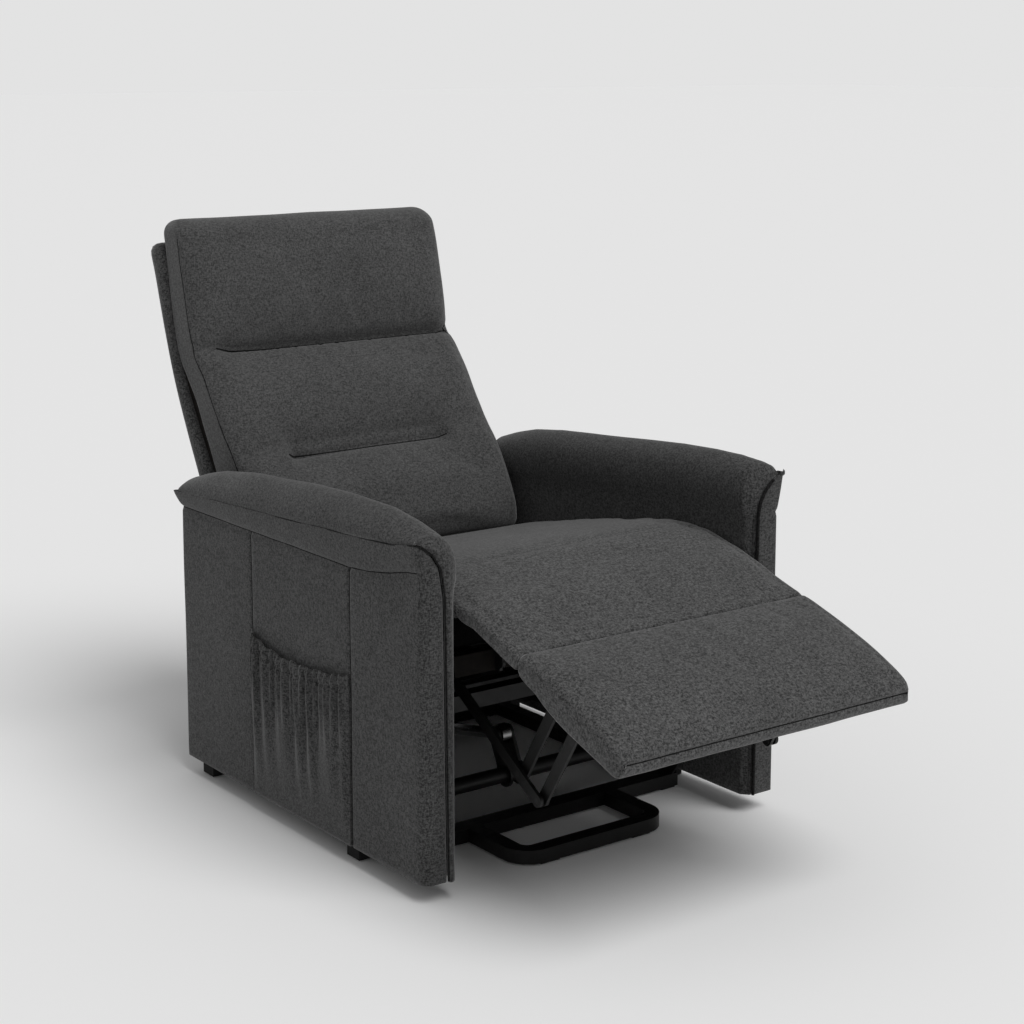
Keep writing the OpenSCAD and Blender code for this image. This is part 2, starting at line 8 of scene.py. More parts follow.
import bmesh
import bpy
import numpy as np
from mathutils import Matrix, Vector


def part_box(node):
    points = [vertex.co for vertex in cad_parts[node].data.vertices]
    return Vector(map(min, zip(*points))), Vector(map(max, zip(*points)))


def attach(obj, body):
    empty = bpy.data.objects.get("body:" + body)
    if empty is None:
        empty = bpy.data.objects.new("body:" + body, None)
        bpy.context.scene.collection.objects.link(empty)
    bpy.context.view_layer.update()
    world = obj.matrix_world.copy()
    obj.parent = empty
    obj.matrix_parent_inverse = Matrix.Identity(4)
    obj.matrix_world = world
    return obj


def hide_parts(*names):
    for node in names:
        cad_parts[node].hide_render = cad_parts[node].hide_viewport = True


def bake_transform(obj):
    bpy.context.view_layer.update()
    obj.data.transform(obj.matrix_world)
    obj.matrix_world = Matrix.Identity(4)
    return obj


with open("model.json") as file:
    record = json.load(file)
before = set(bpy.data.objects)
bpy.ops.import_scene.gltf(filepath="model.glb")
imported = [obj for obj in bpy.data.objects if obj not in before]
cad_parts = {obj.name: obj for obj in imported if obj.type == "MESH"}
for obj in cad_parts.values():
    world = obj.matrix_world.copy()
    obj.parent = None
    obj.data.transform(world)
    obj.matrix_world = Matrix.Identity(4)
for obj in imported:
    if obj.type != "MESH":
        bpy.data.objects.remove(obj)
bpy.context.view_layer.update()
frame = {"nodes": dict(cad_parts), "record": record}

# ---------------------------------------------------------------- camera and light

CAMERA_PLACE = (-2.139, -2.939, 1.354)      # solved from the chair's straight edges
CAMERA_HEADING = 36.52      # degrees to the right of straight ahead
CAMERA_DROP = 9.55          # degrees below the horizon
CAMERA_LENS = 73.0
CAMERA_SHIFT = -0.109
ROOM_GREY = 0.40            # light that comes from all round
BACKDROP = 0.767            # how bright the plain backdrop looks
FLOOR_GREY = 0.89           # so that the floor runs into the backdrop without a line
FLOOR_HALF = 60.0


def make_camera():
    data = bpy.data.cameras.new("camera")
    data.lens = CAMERA_LENS
    data.shift_y = CAMERA_SHIFT
    data.clip_end = 200
    camera = bpy.data.objects.new("camera", data)
    bpy.context.scene.collection.objects.link(camera)
    camera.location = CAMERA_PLACE
    camera.rotation_euler = (math.radians(90 - CAMERA_DROP), 0, math.radians(-CAMERA_HEADING))
    bpy.context.scene.camera = camera


def soft_sun(name, towards, strength, spread):
    """Even studio light from a wide source; towards points from the chair to the light."""
    data = bpy.data.lights.new(name, "SUN")
    data.energy = strength
    data.angle = math.radians(spread)
    light = bpy.data.objects.new(name, data)
    bpy.context.scene.collection.objects.link(light)
    light.rotation_euler = Vector(towards).to_track_quat("Z", "Y").to_euler()


def make_light():
    """Broad light from above and a little in front, in a grey room with a pale backdrop."""
    soft_sun("overhead_softbox", (0.12, -0.55, 0.82), 1.80, 40)
    soft_sun("front_left_softbox", (-0.75, -0.60, 0.30), 0.12, 60)
    world = bpy.data.worlds.new("studio")
    world.use_nodes = True
    tree = world.node_tree
    room = tree.nodes["Background"]
    room.inputs["Color"].default_value = (ROOM_GREY, ROOM_GREY, ROOM_GREY, 1)
    backdrop = tree.nodes.new("ShaderNodeBackground")
    backdrop.inputs["Color"].default_value = (BACKDROP, BACKDROP, BACKDROP, 1)
    path = tree.nodes.new("ShaderNodeLightPath")
    mix = tree.nodes.new("ShaderNodeMixShader")
    tree.links.new(path.outputs["Is Camera Ray"], mix.inputs["Fac"])
    tree.links.new(room.outputs["Background"], mix.inputs[1])
    tree.links.new(backdrop.outputs["Background"], mix.inputs[2])
    tree.links.new(mix.outputs["Shader"], tree.nodes["World Output"].inputs["Surface"])
    bpy.context.scene.world = world


def make_floor():
    data = bpy.data.meshes.new("floor")
    corners = [(FLOOR_HALF * x, FLOOR_HALF * y, 0) for x, y in ((-1, -1), (1, -1), (1, 1), (-1, 1))]
    data.from_pydata(corners, [], [(0, 1, 2, 3)])
    floor = bpy.data.objects.new("floor", data)
    bpy.context.scene.collection.objects.link(floor)
    material = bpy.data.materials.new("floor_paint")
    material.use_nodes = True
    shader = material.node_tree.nodes["Principled BSDF"]
    shader.inputs["Base Color"].default_value = (FLOOR_GREY, FLOOR_GREY, FLOOR_GREY, 1)
    shader.inputs["Roughness"].default_value = 0.9
    shader.inputs["Specular IOR Level"].default_value = 0.1
    data.materials.append(material)


bpy.context.scene.view_settings.view_transform = "Standard"
make_camera()
make_light()
make_floor()

# ---------------------------------------------------------------- materials


class Nodes:
    """Short names for building a material's node tree."""

    def __init__(self, name):
        self.material = bpy.data.materials.new(name)
        self.material.use_nodes = True
        self.tree = self.material.node_tree
        self.shader = self.tree.nodes["Principled BSDF"]

    def add(self, kind, **settings):
        node = self.tree.nodes.new(kind)
        for key, value in settings.items():
            setattr(node, key, value)
        return node

    def link(self, source, target):
        self.tree.links.new(source, target)

    def place(self, attribute=None):
        """Where a point is: in the object, or as a stored attribute such as its resting place."""
        if attribute:
            return self.add("ShaderNodeAttribute", attribute_name=attribute).outputs["Vector"]
        return self.add("ShaderNodeTexCoord").outputs["Object"]

    def scaled(self, source, scale):
        node = self.add("ShaderNodeMapping")
        node.inputs["Scale"].default_value = scale
        self.link(source, node.inputs["Vector"])
        return node.outputs["Vector"]

    def noise(self, source, scale, detail=3.0, rough=0.55):
        node = self.add("ShaderNodeTexNoise")
        node.inputs["Scale"].default_value = scale
        node.inputs["Detail"].default_value = detail
        node.inputs["Roughness"].default_value = rough
        self.link(source, node.inputs["Vector"])
        return node.outputs["Fac"]

    def ramp(self, source, low, high, start=0.3, stop=0.7):
        node = self.add("ShaderNodeValToRGB")
        node.color_ramp.elements[0].position = start
        node.color_ramp.elements[0].color = (*low, 1)
        node.color_ramp.elements[1].position = stop
        node.color_ramp.elements[1].color = (*high, 1)
        self.link(source, node.inputs["Fac"])
        return node.outputs["Color"]

    def math(self, operation, a, b):
        node = self.add("ShaderNodeMath", operation=operation)
        for socket, value in zip(node.inputs, (a, b)):
            if isinstance(value, (int, float)):
                socket.default_value = value
            else:
                self.link(value, socket)
        return node.outputs["Value"]

    def multiply(self, a, b):
        node = self.add("ShaderNodeMix", data_type="RGBA", blend_type="MULTIPLY")
        factor, first, second = [socket for socket in node.inputs if socket.enabled]
        factor.default_value = 1.0
        self.link(a, first)
        self.link(b, second)
        return [socket for socket in node.outputs if socket.enabled][0]

    def bump(self, height, distance, strength=1.0):
        node = self.add("ShaderNodeBump")
        node.inputs["Distance"].default_value = distance
        node.inputs["Strength"].default_value = strength
        self.link(height, node.inputs["Height"])
        self.link(node.outputs["Normal"], self.shader.inputs["Normal"])

    def set(self, **values):
        for key, value in values.items():
            name = key.replace("_", " ")
            self.shader.inputs[name].default_value = value


def grey(level, warm=0.0):
    """Colour of one level, a little redder where warm is above 0."""
    return (level * (1 + warm), level, level * (1 - warm))


def fabric(name, dark, light, sheen=0.22, gloss=0.18):
    """Charcoal heathered weave: crossed threads, short light slubs and slow patches of wear.

    Its pattern is drawn from the resting shape, so it stays put on a cover that bends.
    """
    n = Nodes(name)
    at = n.place("rest")
    slub = n.noise(n.scaled(at, (1.0, 0.7, 0.45)), 420, 2.0, 0.75)
    cross = n.noise(n.scaled(at, (0.45, 0.5, 1.0)), 390, 2.0, 0.75)
    grain = n.math("ADD", n.math("MULTIPLY", slub, 0.5), n.math("MULTIPLY", cross, 0.5))
    patches = n.noise(at, 9, 3.0, 0.6)
    base = n.ramp(grain, grey(dark), grey(light), 0.40, 0.61)
    worn = n.ramp(patches, grey(0.86), grey(1.0), 0.35, 0.7)
    n.link(n.multiply(base, worn), n.shader.inputs["Base Color"])
    fine = n.noise(at, 1500, 2.0, 0.6)
    height = n.math("ADD", grain, n.math("MULTIPLY", fine, 0.4))
    n.bump(height, 0.0002, 0.4)
    n.set(Roughness=0.94, Specular_IOR_Level=gloss, Sheen_Weight=sheen, Sheen_Roughness=0.45)
    return n.material


def powder_coat(name, level):
    """Black powder coat with orange-peel bumps and dull scuffs."""
    n = Nodes(name)
    at = n.place()
    scuffs = n.noise(n.scaled(at, (1, 3, 1)), 45, 5.0, 0.7)
    n.link(n.ramp(scuffs, grey(level), grey(level * 1.9, 0.02), 0.45, 0.8), n.shader.inputs["Base Color"])
    n.link(n.ramp(scuffs, grey(0.34), grey(0.6), 0.35, 0.75), n.shader.inputs["Roughness"])
    n.bump(n.noise(at, 900, 1.0), 0.0003, 0.4)
    n.set(Specular_IOR_Level=0.28)
    return n.material


def brushed_metal(name, level, roughness, along=(1, 40, 40)):
    n = Nodes(name)
    at = n.place()
    lines = n.noise(n.scaled(at, along), 30, 4.0, 0.7)
    n.link(n.ramp(lines, grey(level * 0.75), grey(level), 0.3, 0.7), n.shader.inputs["Base Color"])
    n.link(n.ramp(lines, grey(roughness * 0.8), grey(roughness * 1.3)), n.shader.inputs["Roughness"])
    n.bump(lines, 0.0001, 0.3)
    n.set(Metallic=1.0)
    return n.material


def moulded_plastic(name, level, roughness=0.55):
    n = Nodes(name)
    at = n.place()
    texture = n.noise(at, 1400, 2.0)
    marks = n.noise(at, 14, 4.0, 0.6)
    n.link(n.ramp(marks, grey(level), grey(level * 1.4)), n.shader.inputs["Base Color"])
    n.link(n.ramp(marks, grey(roughness * 0.85), grey(roughness * 1.15)), n.shader.inputs["Roughness"])
    n.bump(texture, 0.0002, 0.5)
    n.set(Specular_IOR_Level=0.25)
    return n.material


def dark_wood_and_shade(name):
    """Plywood and softwood, near black with the grain still showing: a dark finish, darkened further as painted shade
    of the chair's dark interior.
    """
    n = Nodes(name)
    at = n.place()
    rings = n.noise(n.scaled(at, (14, 1.2, 14)), 6, 5.0, 0.65)
    pores = n.noise(n.scaled(at, (60, 3, 60)), 9, 2.0)
    # near-black tone: painted shade of the dark interior on top of a dark finish
    tone = n.ramp(rings, (0.0035, 0.0028, 0.0024), (0.010, 0.008, 0.0065), 0.3, 0.7)
    n.link(n.multiply(tone, n.ramp(pores, grey(0.8), grey(1.0))), n.shader.inputs["Base Color"])
    n.bump(pores, 0.0004, 0.5)
    n.set(Roughness=0.75, Specular_IOR_Level=0.15)
    return n.material


def webbing(name):
    n = Nodes(name)
    at = n.place()
    ribs = n.add("ShaderNodeTexWave", wave_type="BANDS", bands_direction="X")
    ribs.inputs["Scale"].default_value = 160
    n.link(at, ribs.inputs["Vector"])
    n.link(n.ramp(ribs.outputs["Fac"], grey(0.008), grey(0.030)), n.shader.inputs["Base Color"])
    n.bump(ribs.outputs["Fac"], 0.0005, 0.6)
    n.set(Roughness=0.9)
    return n.material


CUSHION = fabric("cushion_weave", 0.019, 0.112)
BACK = fabric("back_weave", 0.030, 0.094)
COVER = fabric("cover_weave", 0.015, 0.084)
# near-black piping and seam lines: partly the real dark cord, partly painted shade of the grooves at the seams
PIPING_AND_SEAM_SHADE = fabric("piping_and_seam_shade_weave", 0.004, 0.020, 0.05, 0.05)
THREAD = fabric("stitch_thread", 0.060, 0.130)
# near-black dust cloth without sheen: partly a real lining, partly painted shade under the seat and behind the
# mechanism
DUST_CLOTH_AND_SHADE = fabric("dust_cloth_and_painted_shade", 0.002, 0.005, 0.0, 0.03)
STEEL = powder_coat("black_powder_coat", 0.0035)
ZINC = brushed_metal("black_zinc_plate", 0.05, 0.42)
CHROME = brushed_metal("polished_rod", 0.30, 0.22, (40, 1, 40))
MOTOR = moulded_plastic("motor_housing", 0.007)
RUBBER = moulded_plastic("black_rubber", 0.010, 0.8)
DARK_WOOD_AND_SHADE = dark_wood_and_shade("dark_wood_and_shade")
STRAP = webbing("elastic_webbing")

# materials of the CAD nodes that stay in sight; the fabric slots have no row, since their nodes are replaced
SLOT_MATERIALS = {
    "black_steel": STEEL,
    "zinc_steel": ZINC,
    "rod_steel": CHROME,
    "motor_plastic": MOTOR,
    "wood": DARK_WOOD_AND_SHADE,
    "strap_webbing": STRAP,
    "black_rubber": RUBBER,
    "foot_plastic": RUBBER,
}


def paint_nodes():
    """Gives each CAD node that stays in sight the material of its slot."""
    for row in frame["record"]["subparts"]:
        material = SLOT_MATERIALS.get(row["material_slot"])
        if material is None:
            continue
        data = frame["nodes"][row["node"]].data
        data.materials.clear()
        data.materials.append(material)


paint_nodes()

# ---------------------------------------------------------------- mesh helpers


def curve_through(points, count, focus=()):
    """Smooth curve through the points, sampled by length: evenly, or closer together round each focus.

    A focus is (share of the length, width of the closer part, how many times closer).
    """
    p = np.array(points, float)
    ends = np.vstack([2 * p[0] - p[1], p, 2 * p[-1] - p[-2]])
    rows = []
    for i in range(1, len(ends) - 2):
        a, b, c, d = ends[i - 1:i + 3]
        ta, tb, tc, td = np.cumsum([0, *[max(np.linalg.norm(w) ** 0.5, 1e-6) for w in (b - a, c - b, d - c)]])
        t = np.linspace(tb, tc, 24, endpoint=False)[:, None]
        ab = (tb - t) / (tb - ta) * a + (t - ta) / (tb - ta) * b
        bc = (tc - t) / (tc - tb) * b + (t - tb) / (tc - tb) * c
        cd = (td - t) / (td - tc) * c + (t - tc) / (td - tc) * d
        abc = (tc - t) / (tc - ta) * ab + (t - ta) / (tc - ta) * bc
        bcd = (td - t) / (td - tb) * bc + (t - tb) / (td - tb) * cd
        rows.append((tc - t) / (tc - tb) * abc + (t - tb) / (tc - tb) * bcd)
    rows.append(p[-1:])
    fine = np.vstack(rows)
    length = np.concatenate([[0], np.cumsum(np.linalg.norm(np.diff(fine, axis=0), axis=1))])
    at = spaced(count, focus) * length[-1]
    return np.stack([np.interp(at, length, fine[:, k]) for k in range(p.shape[1])], 1)


def spaced(count, focus=()):
    """Places from 0 to 1, closer together round each focus."""
    u = np.linspace(0, 1, 2001)
    weight = np.ones_like(u)
    for share, width, gain in focus:
        weight += (gain - 1) * np.exp(-((u - share) / width) ** 2)
    total = np.concatenate([[0], np.cumsum((weight[1:] + weight[:-1]) / 2)])
    return np.interp(np.linspace(0, total[-1], count), total, u)


def line(table, at):
    """Piecewise line through (place, value) pairs."""
    xs, ys = zip(*sorted(table))
    return np.interp(at, xs, ys)


def ease(low, high, at):
    """0 at low, 1 at high and smooth in between, level beyond them. low may be the greater of the two."""
    t = np.clip((np.asarray(at, float) - low) / (high - low), 0, 1)
    return t * t * (3 - 2 * t)


def grid_faces(rows, columns, start=0, around=False, flip=False):
    faces = []
    for i in range(rows - 1):
        for j in range(columns if around else columns - 1):
            k = (j + 1) % columns
            quad = (start + i * columns + j, start + i * columns + k,
                    start + (i + 1) * columns + k, start + (i + 1) * columns + j)
            faces.append(quad[::-1] if flip else quad)
    return faces


def new_piece(name, vertices, faces, material):
    data = bpy.data.meshes.new(name)
    data.from_pydata([tuple(map(float, v)) for v in vertices], [], faces)
    data.materials.append(material)
    piece = bpy.data.objects.new(name, data)
    bpy.context.scene.collection.objects.link(piece)
    tidy_mesh(piece)
    data.shade_smooth()
    return piece


def tidy_mesh(piece):
    """Joins points that coincide and makes all faces point the same way, outward on a closed piece."""
    mesh = bmesh.new()
    mesh.from_mesh(piece.data)
    bmesh.ops.remove_doubles(mesh, verts=mesh.verts, dist=1e-5)
    bmesh.ops.dissolve_degenerate(mesh, edges=mesh.edges, dist=1e-6)
    bmesh.ops.recalc_face_normals(mesh, faces=mesh.faces)
    mesh.to_mesh(piece.data)
    mesh.free()


def points_of(piece):
    return np.array([v.co for v in piece.data.vertices], float).reshape(-1, 3)


def set_points(piece, points):
    piece.data.vertices.foreach_set("co", np.asarray(points, np.float32).ravel())
    piece.data.update()


def keep_rest(piece):
    """Stores each point's resting place, which the fabric's weave is drawn from."""
    data = piece.data
    rest = data.attributes.get("rest") or data.attributes.new("rest", "FLOAT_VECTOR", "POINT")
    rest.data.foreach_set("vector", points_of(piece).astype(np.float32).ravel())


def normals_of(piece):
    return np.array([v.normal for v in piece.data.vertices], float).reshape(-1, 3)


def noise_field(points, seed, size, waves=7):
    """Slow smooth noise from -1 to 1: a sum of waves in seeded directions."""
    rng = np.random.default_rng(seed)
    total = np.zeros(len(points))
    for _ in range(waves):
        way = rng.normal(size=3)
        way *= 2 * np.pi / (size * rng.uniform(0.7, 1.6)) / np.linalg.norm(way)
        total += np.sin(points @ way + rng.uniform(0, 2 * np.pi))
    return total / waves


def tube(name, path, radius, material, sides=10):
    """Round closed cord along a path of points."""
    p = np.array(path, float)
    tangent = np.gradient(p, axis=0)
    tangent /= np.linalg.norm(tangent, axis=1)[:, None]
    side = np.cross(tangent[0], (0.3, 0.2, 0.93))       # no path starts in this direction
    rings = []
    for i, t in enumerate(tangent):
        side = side - t * (side @ t)
        side /= np.linalg.norm(side)
        up = np.cross(t, side)
        for k in range(sides):
            a = 2 * np.pi * k / sides
            rings.append(p[i] + radius * (math.cos(a) * side + math.sin(a) * up))
    faces = grid_faces(len(p), sides, around=True)
    faces.append(tuple(range(sides))[::-1])
    faces.append(tuple(range((len(p) - 1) * sides, len(p) * sides)))
    return new_piece(name, rings, faces, material)


STITCH = (0.0035, 0.0006, 0.0022)       # length of a stitch, half its width and the gap to the next


def stitch_line(name, cover, path, way, body, count):
    """Row of short sewn stitches along a path dropped onto a cover."""
    p, n = laid_on(cover, path, count, way)
    length = np.concatenate([[0], np.cumsum(np.linalg.norm(np.diff(p, axis=0), axis=1))])
    long, wide, gap = STITCH
    vertices, faces = [], []
    at = 0.0
    while at + long < length[-1]:
        a, b = (np.array([np.interp(s, length, p[:, k]) for k in range(3)]) for s in (at, at + long))
        up = np.array([np.interp(at, length, n[:, k]) for k in range(3)])
        up /= np.linalg.norm(up)
        along = (b - a) / np.linalg.norm(b - a)
        side = np.cross(along, up) * wide
        lift = up * wide * 0.9
        mid = (a + b) / 2 + lift * 1.3
        inset, low = along * long * 0.2, lift * 0.5
        k = len(vertices)
        vertices += [a, a + inset + side * 0.8 + low, mid + side, b - inset + side * 0.8 + low,
                     b, b - inset - side * 0.8 + low, mid - side, a + inset - side * 0.8 + low, mid + lift * 0.8]
        faces += [(k + i, k + (i + 1) % 8, k + 8) for i in range(8)]
        at += long + gap
    piece = new_piece(name, vertices, faces, THREAD)
    keep_rest(piece)
    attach(piece, body)


CAST = 0.06     # how far off a cover a dropped point starts


def laid_on(cover, path, count, way, sink=0.0):
    """Drops evenly spaced points of a path onto a cover along way. Gives the places and the normals."""
    way = np.array(way, float) / np.linalg.norm(way)
    places, normals = [], []
    for point in curve_through(path, count):
        met, place, normal, _ = cover.ray_cast(Vector(point - CAST * way), Vector(way), distance=2 * CAST)
        if met:
            places.append(np.array(place) + sink * way)
            normals.append(np.array(normal))
    return np.array(places), np.array(normals)


def seam_shade_line(name, cover, path, way, body, count=120, radius=0.0011):
    """Near-black tube half sunk in a cover along a seam: painted shade of the seam's groove."""
    places, _ = laid_on(cover, path, count, way, sink=0.0002)
    piece = tube(name, curve_through(places, count), radius, PIPING_AND_SEAM_SHADE, sides=6)
    keep_rest(piece)
    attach(piece, body)


# ---------------------------------------------------------------- padded shapes


SWELL_FRAMES = 20


def swell(piece, pressure, cap, hold, slack):
    """Blows the pad up as cloth with gravity off, then caps how far each point has moved.

    hold is a weight for each point that pins it, for sewn seams. slack is the share by which the cloth is cut wider.
    """
    start = points_of(piece)
    cloth = piece.modifiers.new("cloth", "CLOTH")
    s = cloth.settings
    s.quality = 6
    s.mass = 0.25
    s.tension_stiffness = s.compression_stiffness = 12
    s.shear_stiffness = 4
    s.bending_stiffness = 0.4
    s.use_pressure = True
    s.uniform_pressure_force = pressure
    s.effector_weights.gravity = 0
    s.shrink_min = -slack
    cloth.collision_settings.use_collision = False
    cloth.collision_settings.use_self_collision = False
    group = piece.vertex_groups.new(name="held")
    for index in np.nonzero(hold > 0.01)[0]:
        group.add([int(index)], float(hold[index]), "REPLACE")
    s.vertex_group_mass = "held"
    scene = bpy.context.scene
    cloth.point_cache.frame_start, cloth.point_cache.frame_end = 1, SWELL_FRAMES
    for number in range(1, SWELL_FRAMES + 1):
        scene.frame_set(number)
    graph = bpy.context.evaluated_depsgraph_get()
    done = piece.evaluated_get(graph).to_mesh()
    moved = np.array([v.co for v in done.vertices], float).reshape(-1, 3)
    piece.evaluated_get(graph).to_mesh_clear()
    piece.modifiers.remove(cloth)
    piece.vertex_groups.clear()
    scene.frame_set(1)
    step = moved - start
    far = np.linalg.norm(step, axis=1)
    limit = cap * np.tanh(far / cap)
    set_points(piece, start + step * (limit / np.maximum(far, 1e-9))[:, None])


def thicken(piece, thickness, offset):
    """Gives a sheet of cloth its thickness: inward with offset -1, both ways with 0."""
    thick = piece.modifiers.new("cloth_thickness", "SOLIDIFY")
    thick.thickness = thickness
    thick.offset = offset
    apply_modifiers(piece)
    piece.data.shade_smooth()


def roughen(piece, height, seed, size, where=1.0):
    """Slow waves of a padded surface, in and out along its normals."""
    p = points_of(piece)
    p += normals_of(piece) * (height * noise_field(p, seed, size) * where)[:, None]
    set_points(piece, p)


def apply_modifiers(piece):
    graph = bpy.context.evaluated_depsgraph_get()
    baked = bpy.data.meshes.new_from_object(piece.evaluated_get(graph))
    old = piece.data
    piece.modifiers.clear()
    piece.data = baked
    bpy.data.meshes.remove(old)


def finish_soft(piece, body, slot, *nodes, fill=None):
    """Finishes a soft piece: stores its resting shape, attaches it to its body and hides the CAD nodes it stands for.
    slot and fill are not used.
    """
    keep_rest(piece)
    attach(piece, body)
    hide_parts(*nodes)


def box_pad(name, face, behind, half, seam=0.3, depth=None, face_rim=0.05, behind_rim=0.02, step=0.006, tuck=0.0025,
            power=2.2, square=4.0, focus=(), material=CUSHION):
    """Box cushion made from two side curves that share their ends, as [y, z] points.

    face is the side that shows and behind the hidden one. The sewn edge between them lies at the share seam of the
    way from face to behind, or depth below face, and is pulled in by tuck. The sides round over within face_rim and
    behind_rim of the edge, fuller with a higher power and square. focus is as in curve_through.
    """
    length = np.linalg.norm(np.diff(np.array(face), axis=0), axis=1).sum()
    along = max(int(length / step), 16)
    across = max(int(2 * half / step), 16)
    front, back = curve_through(face, along, focus), curve_through(behind, along, focus)
    edge = front + seam * (back - front)
    if depth is not None:
        gap = np.linalg.norm(back - front, axis=1)[:, None]
        from_end = np.minimum(spaced(along, focus), 1 - spaced(along, focus))[:, None] * length
        edge = front + (back - front) / np.maximum(gap, 1e-4) * depth * ease(0.0, 0.02, from_end)
    spread = np.linspace(-1, 1, across)
    x = np.broadcast_to(half * np.sign(spread) * (1 - (1 - np.abs(spread)) ** 1.35), (along, across))
    from_edge = half - np.abs(x)
    points, faces = [], []
    for curve, rim, bend, flip in ((front, face_rim, power, False), (back, behind_rim, square, True)):
        full = (1 - (1 - np.clip(from_edge / rim, 0, 1)) ** bend) ** (1 / bend)
        y = edge[:, :1] + (curve - edge)[:, :1] * full
        z = edge[:, 1:] + (curve - edge)[:, 1:] * full
        cover = np.stack([x, y, z], -1)
        cover[:, 0, 0] += tuck
        cover[:, -1, 0] -= tuck
        faces += grid_faces(along, across, start=len(points) * along * across, flip=flip)
        points.append(cover.reshape(-1, 3))
    return new_piece(name, np.vstack(points), faces, material)


def round_corners(piece, axis, end, radius, half):
    """Rounds the two corners of a pad, seen from its face, at one end of an axis."""
    p = points_of(piece)
    inward = 1 if end < np.median(p[:, axis]) else -1
    over = np.clip((radius - inward * (p[:, axis] - end)) / radius, 0, 1)
    p[:, 0] *= 1 - radius / half * (1 - np.sqrt(1 - over ** 2))
    set_points(piece, p)


def press_line(points, path, depth, reach, along=None):
    """Pulls points towards a sewn line: a sharp crease in a wider hollow. path is a polyline on the surface."""
    p = np.array(path, float)
    best = np.full(len(points), 1e9)
    where = np.zeros(len(points))
    run = np.concatenate([[0], np.cumsum(np.linalg.norm(np.diff(p, axis=0), axis=1))])
    for i in range(len(p) - 1):
        d = p[i + 1] - p[i]
        t = np.clip((points - p[i]) @ d / (d @ d), 0, 1)
        gap = np.linalg.norm(points - (p[i] + t[:, None] * d), axis=1)
        closer = gap < best
        best = np.where(closer, gap, best)
        where = np.where(closer, run[i] + t * (run[i + 1] - run[i]), where)
    share = where / run[-1]
    fade = np.ones(len(points)) if along is None else np.interp(share, *zip(*along))
    crease = 0.45 * np.exp(-(best / 0.0045) ** 2) + 0.55 * np.exp(-(best / reach) ** 1.6)
    return depth * fade * crease


# ---------------------------------------------------------------- seat and middle of the footrest

SEAT_HALF = 0.3125
FOOT_HALF = 0.306
MIDDLE_FRONT = -0.4755      # front edge of the middle footrest pad
SEAT_STITCH = ((-0.300, -0.221), (-0.24, -0.216), (-0.137, -0.203), (-0.024, -0.198), (0.084, -0.195),
               (0.209, -0.195), (0.300, -0.206))
SEAT_STITCH_HEIGHT = 0.512


def make_seat():
    """Seat cushion and middle footrest pad in one cover, which bends at the front of the seat."""
    top = [(0.318, 0.35), (0.322, 0.390), (0.308, 0.412), (0.285, 0.421), (0.245, 0.432), (0.199, 0.4435),
           (0.035, 0.479), (-0.10, 0.504), (-0.174, 0.513), (-0.22, 0.511), (-0.282, 0.498), (-0.359, 0.482),
           (-0.406, 0.4655), (-0.452, 0.4515), (-0.4705, 0.4455), (-0.4750, 0.441), (MIDDLE_FRONT, 0.428)]
    under = [(0.318, 0.35), (0.304, 0.306), (0.199, 0.314), (0.035, 0.343), (-0.10, 0.367), (-0.22, 0.388),
             (-0.262, 0.396), (-0.280, 0.410), (-0.283, 0.455), (-0.287, 0.482), (-0.300, 0.4848), (-0.315, 0.482),
             (-0.324, 0.463), (-0.36, 0.453), (-0.406, 0.436), (-0.452, 0.419), (-0.470, 0.416), (MIDDLE_FRONT, 0.428)]
    piece = box_pad("seat_and_middle_pad", top, under, SEAT_HALF, depth=0.015, face_rim=0.017, behind_rim=0.014,
                    focus=((0.60, 0.03, 3), (0.99, 0.02, 3)))
    p = points_of(piece)
    # the footrest is a little narrower than the seat
    narrow = 1 - (1 - FOOT_HALF / SEAT_HALF) * ease(-0.30, -0.36, p[:, 1])
    p[:, 0] *= narrow
    p[:, 2] -= press_line(p, [(x, y, SEAT_STITCH_HEIGHT) for x, y in SEAT_STITCH], 0.003, 0.012)
    set_points(piece, p)
    sewn = np.minimum(SEAT_HALF * narrow - np.abs(p[:, 0]), p[:, 1] - MIDDLE_FRONT)
    swell(piece, 1.1, 0.008, hold=1 - ease(0.004, 0.030, sewn), slack=0.01)
    keep_flat(piece, p)
    roughen(piece, 0.0012, 3, 0.11)
    piece.data.materials.append(DUST_CLOTH_AND_SHADE)     # dark cloth on the hidden underside and front: a dust cloth whose near-black colour is partly painted shade under the seat
    for face in piece.data.polygons:
        hidden = face.center.y > -0.33 and face.center.z < 0.455 and abs(face.normal.x) < 0.8
        face.material_index = 1 if hidden and (face.normal.z < -0.2 or face.normal.y < -0.5) else 0
    keep_rest(piece)
    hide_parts("seat_cushion", "footrest_mid_pad")
    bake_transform(piece)
    return piece


def keep_flat(piece, before):
    """Puts a pad's hidden underside back where it was, since it rests on its frame."""
    p = points_of(piece)
    under = ease(-0.35, -0.75, normals_of(piece)[:, 2])[:, None]
    set_points(piece, p + (before - p) * under)


HEEL = -0.4765              # rear edge of the front footrest pad
TOE = -0.7255               # its front edge
TOE_SEAM = (-0.7215, 0.3315)


